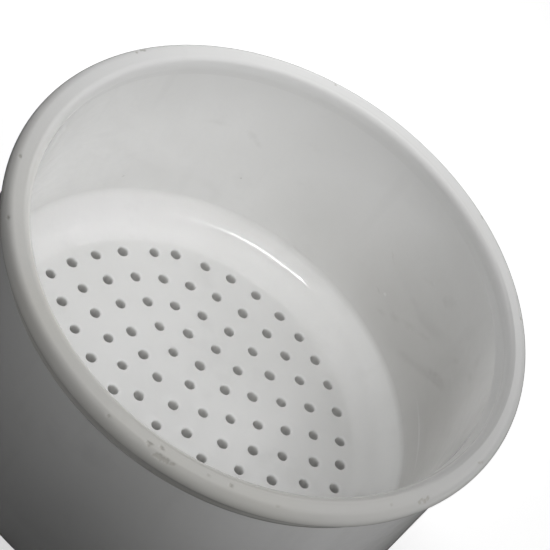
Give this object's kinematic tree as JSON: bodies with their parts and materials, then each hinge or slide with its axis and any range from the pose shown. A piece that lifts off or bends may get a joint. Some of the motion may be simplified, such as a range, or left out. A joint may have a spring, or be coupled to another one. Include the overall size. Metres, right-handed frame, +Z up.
{
  "type": "cheese mold",
  "caption": "Round white glazed mould with near-straight walls, a rolled lip, a foot ring and a flat floor pierced with rings of drain holes, for draining and shaping soft cheese.",
  "frame": {"origin": "on the table, under the middle of the bowl", "axes": "+Z up along the bowl's axis; +Y is the side with one drain hole of every ring close to it; the mould has no front"},
  "size_m": [0.23, 0.23, 0.1258],
  "materials": {
    "white_glaze": "glossy clear glaze over white clay, with faint pits, drips and specks",
    "bare_foot": "glazed sides, wiped bare and slightly worn where it stands"
  },
  "bodies": {
    "root": {"foot_ring": "bare_foot", "coved_base": "white_glaze", "mould_wall": "white_glaze", "pierced_floor": "white_glaze", "rolled_rim": "white_glaze"}
  },
  "joints": []
}
